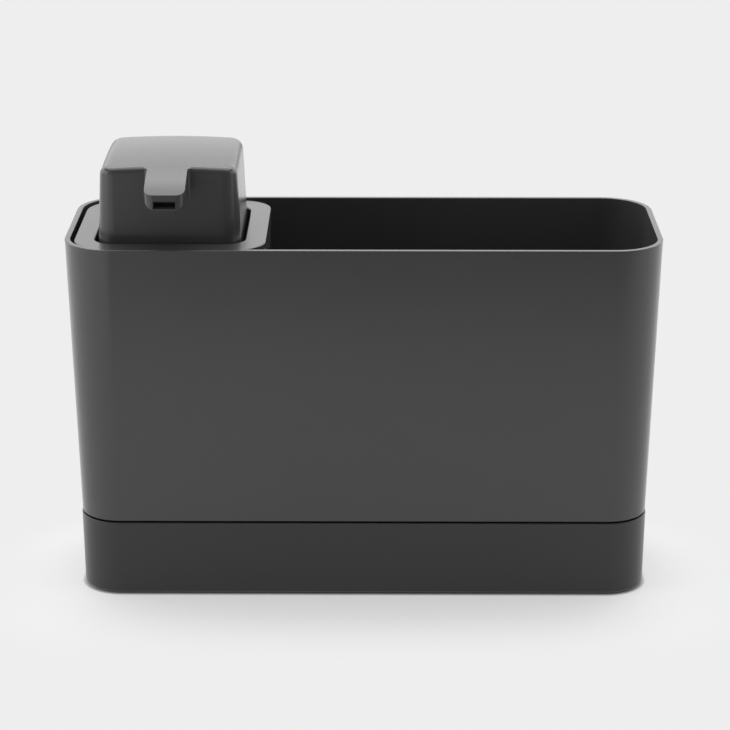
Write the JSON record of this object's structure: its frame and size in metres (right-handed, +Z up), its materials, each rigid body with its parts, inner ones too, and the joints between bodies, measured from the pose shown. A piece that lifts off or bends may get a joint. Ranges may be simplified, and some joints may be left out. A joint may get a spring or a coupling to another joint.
{
  "type": "soap pump caddy",
  "caption": "Long open sink caddy on a lift-off drip tray, with a soap bottle in one end whose square pump head sinks into its lid.",
  "frame": {"origin": "middle of the tray's underside, on the surface that the feet stand on. The middle foot stands on it. The spout reaches past the tray on the -Y side only, so this is not the middle of the whole depth", "axes": "+X along the tub from the dispenser to the open bay, -Y the side that the spout points to, +Z up"},
  "size_m": [0.23, 0.087, 0.1716],
  "materials": {
    "body_plastic": "satin moulded, dark grey",
    "tray_plastic": "satin moulded, dark grey",
    "pump_plastic": "natural white moulded",
    "seal_rubber": "soft grey",
    "foot_rubber": "matt",
    "nozzle_rubber": "matt black",
    "valve_steel": "bright"
  },
  "bodies": {
    "base": {"drip_tray": "tray_plastic", "tray_feet": "foot_rubber"},
    "caddy": {"tub": "body_plastic"},
    "bottle": {"soap_bottle": "body_plastic"},
    "lid": {"dispenser_lid": "body_plastic", "lid_seal": "seal_rubber", "pump_cylinder": "pump_plastic", "cylinder_washer": "seal_rubber", "clamp_nut": "pump_plastic", "cylinder_cap": "pump_plastic", "ball_cage": "pump_plastic", "dip_tube": "pump_plastic", "return_spring": "valve_steel"},
    "inlet_check": {"inlet_ball": "valve_steel"},
    "head": {"pump_head": "body_plastic", "spout_nozzle": "nozzle_rubber", "spout_duct": "pump_plastic", "pump_stem": "pump_plastic", "piston": "pump_plastic", "piston_seal": "seal_rubber", "ball_retainer": "pump_plastic"},
    "outlet_check": {"outlet_ball": "valve_steel"}
  },
  "joints": [
    {"name": "tub_lift", "type": "slide", "parent": "base", "child": "caddy", "axis": [0, 0, 1], "range_m": [0, 0.04]},
    {"name": "bottle_lift", "type": "slide", "parent": "caddy", "child": "bottle", "axis": [0, 0, 1], "range_m": [0, 0.14]},
    {"name": "lid_lift", "type": "slide", "parent": "bottle", "child": "lid", "axis": [0, 0, 1], "range_m": [0, 0.125]},
    {"name": "head_press", "type": "slide", "parent": "lid", "child": "head", "axis": [0, 0, -1], "range_m": [0, 0.012], "stiffness_N_per_m": 400, "springref_m": -0.01, "deforming": ["return_spring"]},
    {"name": "inlet_ball_lift", "type": "slide", "parent": "lid", "child": "inlet_check", "axis": [0, 0, 1], "range_m": [0, 0.0012]},
    {"name": "outlet_ball_lift", "type": "slide", "parent": "head", "child": "outlet_check", "axis": [0, 0, 1], "range_m": [0, 0.0012]}
  ]
}
